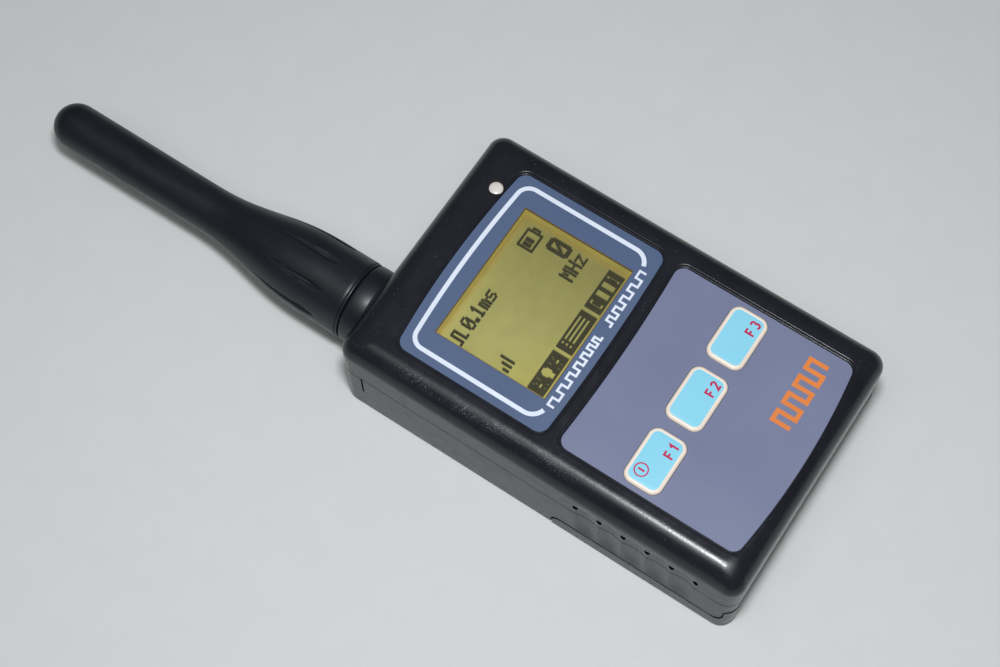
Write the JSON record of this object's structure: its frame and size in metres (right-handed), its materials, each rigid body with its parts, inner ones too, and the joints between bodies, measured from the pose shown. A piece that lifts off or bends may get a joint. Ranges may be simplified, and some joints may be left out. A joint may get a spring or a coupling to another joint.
{
  "type": "handheld frequency counter",
  "caption": "Pocket frequency counter: two-part case, recessed graphic display, a row of soft keys, sliding battery cover and a screw-on stub antenna.",
  "frame": {"origin": "centre of the case's flat back face, on the surface it lies on", "axes": "+X to the instrument's right, +Y from the keys to the antenna end, +Z out of the front face"},
  "size_m": [0.06, 0.1808, 0.028],
  "materials": {
    "case_plastic": "satin black, polished on the rounded edges",
    "antenna_rubber": "satin black",
    "window_print": "printed blue-grey film with a white line",
    "keypad_print": "printed grey film, fine grain",
    "key_film": "sky blue with a raised cream rim and crimson legends",
    "clear_window": "clear, flat",
    "lcd": "yellow-green reflective display",
    "light_guide": "milky",
    "led_lens": "diffused white",
    "tinned_sheet": "bright tinned",
    "steel": "plain",
    "gold_plate": "gold plated",
    "copper_wire": "bare copper",
    "circuit_board": "green solder mask",
    "chip_black": "moulded",
    "soft_rubber": "matt",
    "foam": "open cell",
    "ptfe": "waxy white",
    "nylon": "natural",
    "battery_wrap": "printed wrap"
  },
  "bodies": {
    "case": {"front_shell": "case_plastic", "rear_shell": "case_plastic", "window_overlay": "window_print", "window_lens": "clear_window", "keypad_overlay": "keypad_print", "switch_f1": "chip_black", "switch_f2": "chip_black", "switch_f3": "chip_black", "lcd_frame": "tinned_sheet", "lcd_glass": "lcd", "lcd_backlight": "light_guide", "lcd_contact_strip": "soft_rubber", "status_led": "led_lens", "main_board": "circuit_board", "microcontroller": "chip_black", "reference_oscillator": "tinned_sheet", "charge_jack": "chip_black", "input_board": "circuit_board", "shield_can": "tinned_sheet", "prescaler_chip": "chip_black", "board_connector": "chip_black", "battery_pack": "battery_wrap", "contact_block": "chip_black", "battery_contact_1": "gold_plate", "battery_contact_2": "gold_plate", "battery_contact_3": "gold_plate", "sma_jack": "gold_plate", "sma_jack_insulator": "ptfe", "sma_jack_contact": "gold_plate", "sma_washer": "steel", "sma_nut": "gold_plate", "connector_collar": "antenna_rubber", "case_screw_1": "steel", "case_screw_2": "steel", "case_screw_3": "steel", "case_screw_4": "steel", "board_screw_1": "steel", "board_screw_2": "steel", "board_screw_3": "steel", "board_screw_4": "steel", "input_screw_1": "steel", "input_screw_2": "steel"},
    "key_f1": {"key_f1": "key_film", "plunger_f1": "chip_black"},
    "key_f2": {"key_f2": "key_film", "plunger_f2": "chip_black"},
    "key_f3": {"key_f3": "key_film", "plunger_f3": "chip_black"},
    "battery_cover": {"battery_cover": "case_plastic", "cover_foam": "foam"},
    "antenna_core": {"plug_insulator": "ptfe", "plug_pin": "gold_plate", "whip_core": "nylon"},
    "antenna": {"antenna_sleeve": "antenna_rubber", "plug_shell": "gold_plate", "radiator_coil": "copper_wire"}
  },
  "joints": [
    {"name": "key_f1_press", "type": "slide", "parent": "case", "child": "key_f1", "axis": [0, 0, -1], "range_m": [0, 0.0003], "stiffness_N_per_m": 60},
    {"name": "key_f2_press", "type": "slide", "parent": "case", "child": "key_f2", "axis": [0, 0, -1], "range_m": [0, 0.0003], "stiffness_N_per_m": 60},
    {"name": "key_f3_press", "type": "slide", "parent": "case", "child": "key_f3", "axis": [0, 0, -1], "range_m": [0, 0.0003], "stiffness_N_per_m": 60},
    {"name": "battery_cover_slide", "type": "slide", "parent": "case", "child": "battery_cover", "axis": [0, -1, 0], "range_m": [0, 0.044]},
    {"name": "antenna_rise", "type": "slide", "parent": "case", "child": "antenna_core", "axis": [0, 1, 0], "range_m": [0, 0.00353]},
    {"name": "antenna_turn", "type": "hinge", "parent": "antenna_core", "child": "antenna", "pos_m": [-0.0149, 0.0474, 0.013], "axis": [0, 1, 0], "range_deg": [0, 1801]}
  ],
  "couplings": [
    {"joint": "antenna_turn", "follows": "antenna_rise", "rad_per_m": 8905.3}
  ]
}
